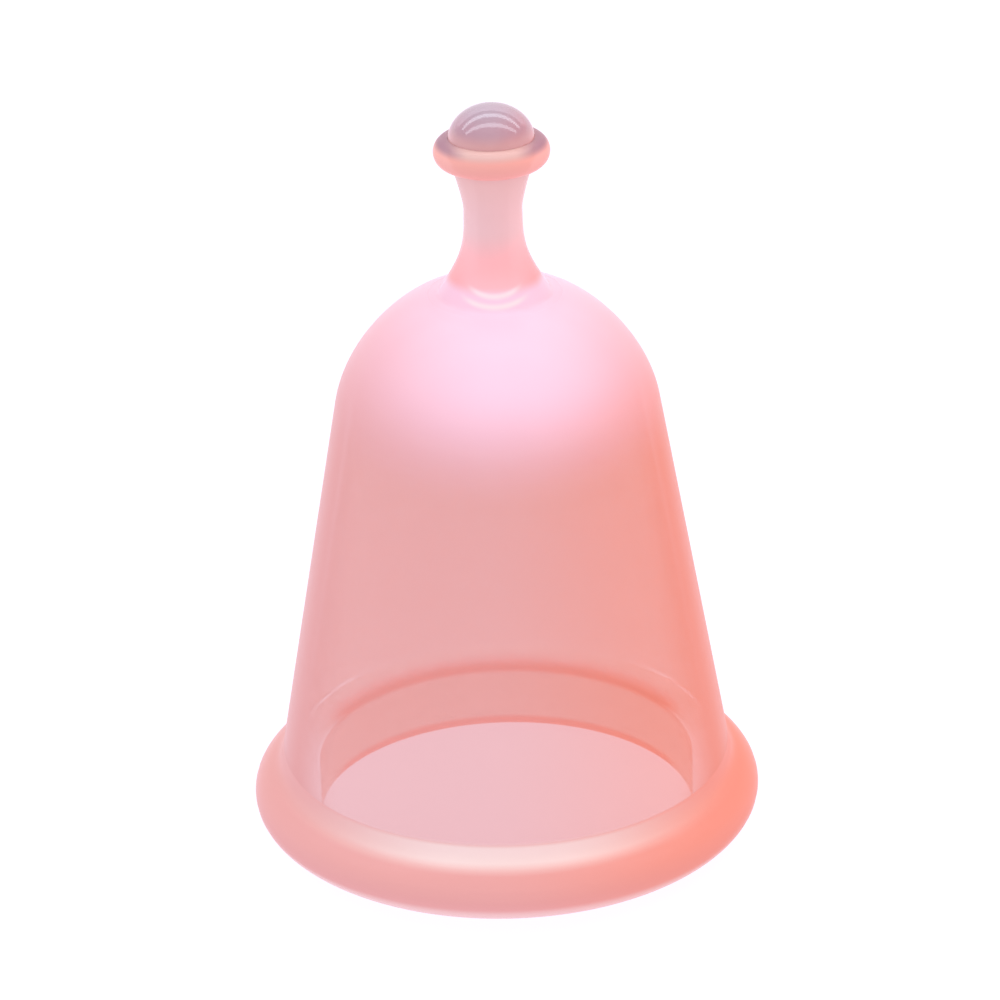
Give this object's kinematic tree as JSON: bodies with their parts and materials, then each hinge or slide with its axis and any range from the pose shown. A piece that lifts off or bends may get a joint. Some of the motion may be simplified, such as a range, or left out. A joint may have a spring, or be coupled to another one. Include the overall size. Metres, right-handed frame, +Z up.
{
  "type": "silicone cupping cup",
  "caption": "Soft translucent bell-shaped suction cup with a thick rolled rim, a hollow waisted stem and a domed push-button release valve in its head.",
  "frame": {"origin": "centre of the mouth, on the plane of the flat ring under the rim", "axes": "+Z up along the bell's centre line, from the mouth to the dome; the stem bends in the XZ plane"},
  "size_m": [0.05, 0.05, 0.0746],
  "materials": {
    "bell_silicone": "translucent rose to coral silicone, satin",
    "stem_silicone": "translucent pink silicone, satin",
    "collar_silicone": "translucent coral silicone, satin",
    "clear_silicone": "clear lilac silicone, glossy",
    "white_plastic": "moulded white plastic",
    "seal_silicone": "soft pale silicone",
    "spring_steel": "drawn stainless wire"
  },
  "bodies": {
    "cup": {"bell": "bell_silicone"},
    "stem": {"stem": "stem_silicone"},
    "head": {"collar": "collar_silicone", "valve_seat": "white_plastic", "return_spring": "spring_steel"},
    "button": {"dome_button": "clear_silicone", "valve_pin": "white_plastic", "seal_ring": "seal_silicone"}
  },
  "joints": [
    {"name": "bell_press", "type": "slide", "parent": "cup", "child": "stem", "axis": [0, 0, -1], "range_m": [0, 0.012], "stiffness_N_per_m": 600, "deforming": ["bell"]},
    {"name": "stem_bend", "type": "hinge", "parent": "stem", "child": "head", "pos_m": [0, 0, 0.062], "axis": [0, 1, 0], "range_deg": [-35, 35], "stiffness_Nm_per_rad": 0.01, "deforming": ["stem"]},
    {"name": "button_press", "type": "slide", "parent": "head", "child": "button", "axis": [0, 0, -1], "range_m": [0, 0.001], "stiffness_N_per_m": 500, "springref_m": -0.0006, "deforming": ["return_spring"]}
  ]
}
